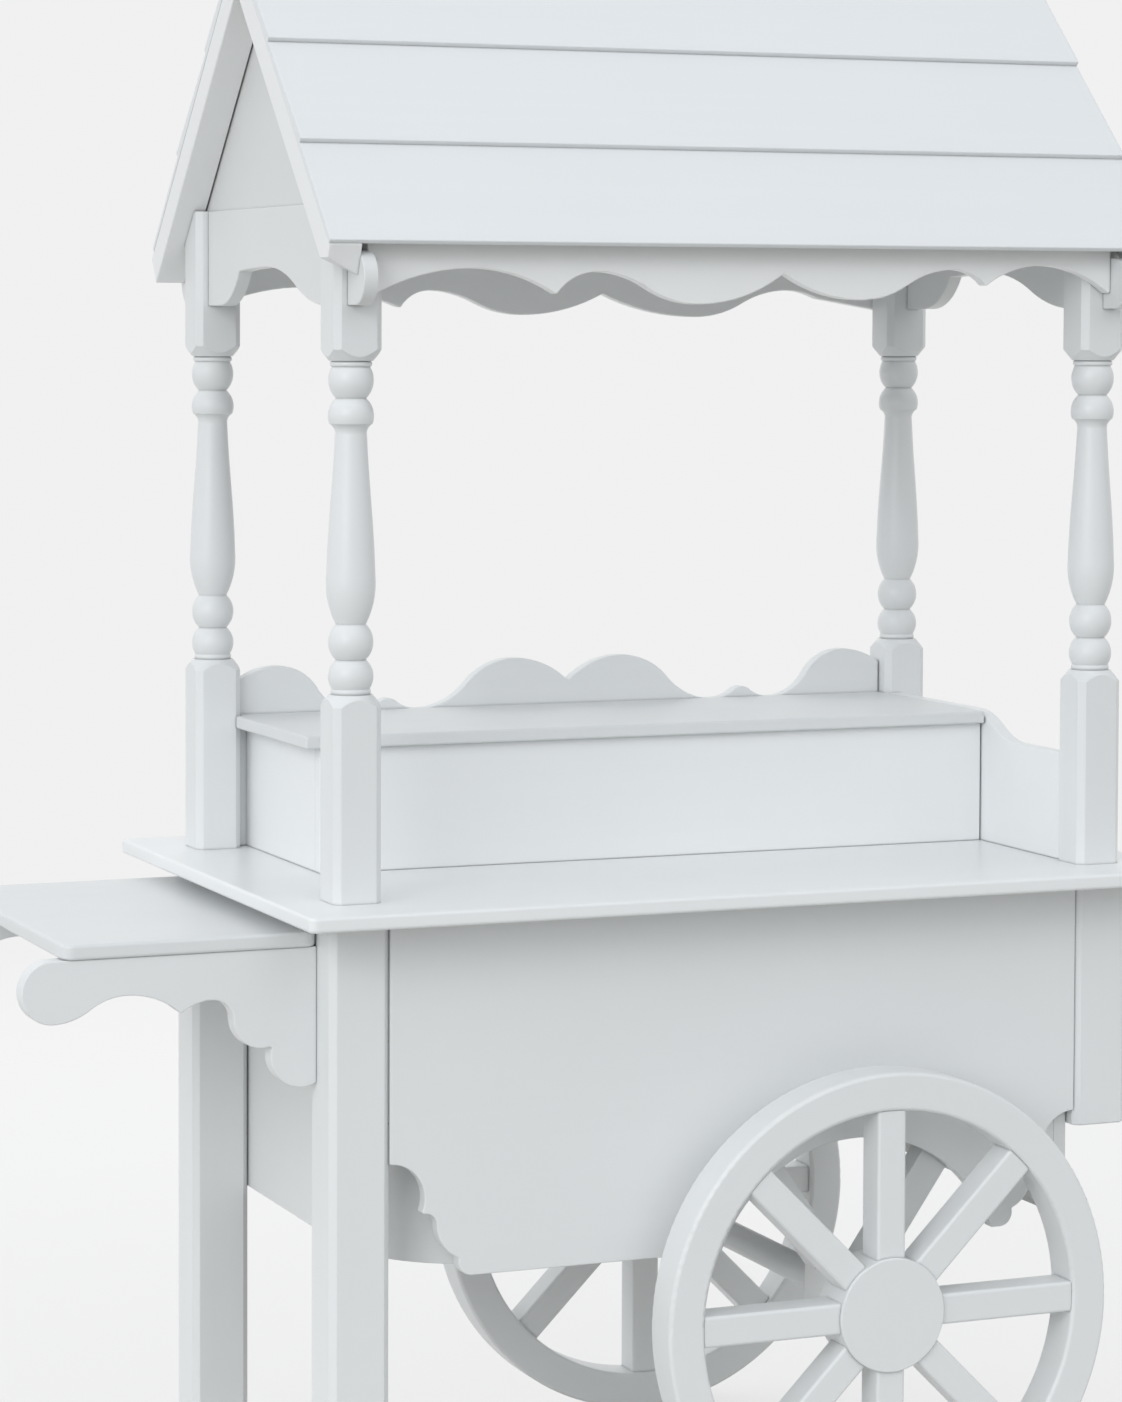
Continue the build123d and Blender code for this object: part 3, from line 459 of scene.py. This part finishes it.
def addWorld():
    world = bpy.data.worlds.new("studio")
    scene.world = world
    world.use_nodes = True
    tree = world.node_tree
    tree.nodes.clear()
    split = addNode(tree, "ShaderNodeSeparateXYZ")
    tree.links.new(addNode(tree, "ShaderNodeTexCoord").outputs["Generated"], split.inputs[0])
    sky = addNode(tree, "ShaderNodeValToRGB")
    tree.links.new(rescale(tree, split.outputs["Z"], wholeSky), sky.inputs[0])
    stops = sky.color_ramp.elements
    for count, (height, colour) in enumerate(worldLight.values()):
        stop = stops[count] if count < len(stops) else stops.new(1.0)
        stop.position = (height + 1) / 2
        stop.color = opaque(colour)
    sides = rescale(tree, split.outputs["X"], wholeSky, worldSides)
    light = addNode(tree, "ShaderNodeBackground")
    tree.links.new(scaleColour(tree, sky.outputs[0], sides), light.inputs["Color"])
    plain = addNode(tree, "ShaderNodeBackground", {"Color": opaque(backdrop["colour"])})
    choose = addNode(tree, "ShaderNodeMixShader")
    tree.links.new(seenRays(tree), choose.inputs[0])
    tree.links.new(light.outputs[0], choose.inputs[1])
    tree.links.new(plain.outputs[0], choose.inputs[2])
    output = addNode(tree, "ShaderNodeOutputWorld")
    tree.links.new(choose.outputs[0], output.inputs["Surface"])


addWorld()
print("studio sky set")


# Softboxes, aimed at the middle of the cart; the fills leave no highlights

coolWhite = (0.975, 1.0, 1.02)
plainWhite = (1.0, 1.0, 1.0)
softboxes = {
    "key softbox": {
        "at": (-8.2, -7.1, 4.6), "size": 6.0, "watts": 314.0, "colour": coolWhite, "shine": True,
    },
    "top softbox": {
        "at": (0.4, -4.2, 6.2), "size": 5.0, "watts": 52.0, "colour": coolWhite, "shine": True,
    },
    "left fill": {
        "at": (-9.6, -0.8, 2.9), "size": 6.0, "watts": 60.0, "colour": plainWhite, "shine": False,
    },
    "right fill": {
        "at": (6.0, -0.4, 2.6), "size": 3.6, "watts": 20.0, "colour": plainWhite, "shine": False,
    },
    "back fill": {
        "at": (0.6, 5.2, 2.6), "size": 3.6, "watts": 80.0, "colour": plainWhite, "shine": False,
    },
}
aim = Vector((0.0, 0.0, 0.95))


def addSoftbox(name, look):
    lamp = bpy.data.lights.new(name, "AREA")
    lamp.shape = "SQUARE"
    lamp.size = look["size"]
    lamp.energy = look["watts"]
    lamp.color = look["colour"]
    box = bpy.data.objects.new(name, lamp)
    box.location = look["at"]
    box.rotation_euler = (aim - box.location).to_track_quat("-Z", "Y").to_euler()
    box.visible_camera = False
    box.visible_glossy = look["shine"]
    scene.collection.objects.link(box)


for name, look in softboxes.items():
    addSoftbox(name, look)
print("lights set:", ", ".join(softboxes))


# Camera at the photograph's angle, left of the front and well above the worktop

view = {
    "at": (-1.944, -4.7873, 1.5081), "yaw": 22.44, "pitch": 2.6, "roll": 0.2,  # degrees
    "lens": 104.81, "sensor": 36.0,
    "shift": -0.1410,  # lowers the frame, as the picture is cropped
}
levelTilt = 90.0  # a new camera looks straight down


def addCamera():
    lens = bpy.data.cameras.new("camera")
    lens.lens = view["lens"]
    lens.sensor_width = view["sensor"]
    lens.shift_y = view["shift"]
    camera = bpy.data.objects.new("camera", lens)
    camera.location = view["at"]
    tilt = math.radians(levelTilt - view["pitch"])
    turn = Euler((tilt, 0, math.radians(-view["yaw"]))).to_matrix()
    roll = Matrix.Rotation(math.radians(view["roll"]), 3, "Z")
    camera.rotation_euler = (turn @ roll).to_euler()
    scene.collection.objects.link(camera)
    scene.camera = camera


addCamera()
scene.view_settings.view_transform = "Standard"
print("camera placed")
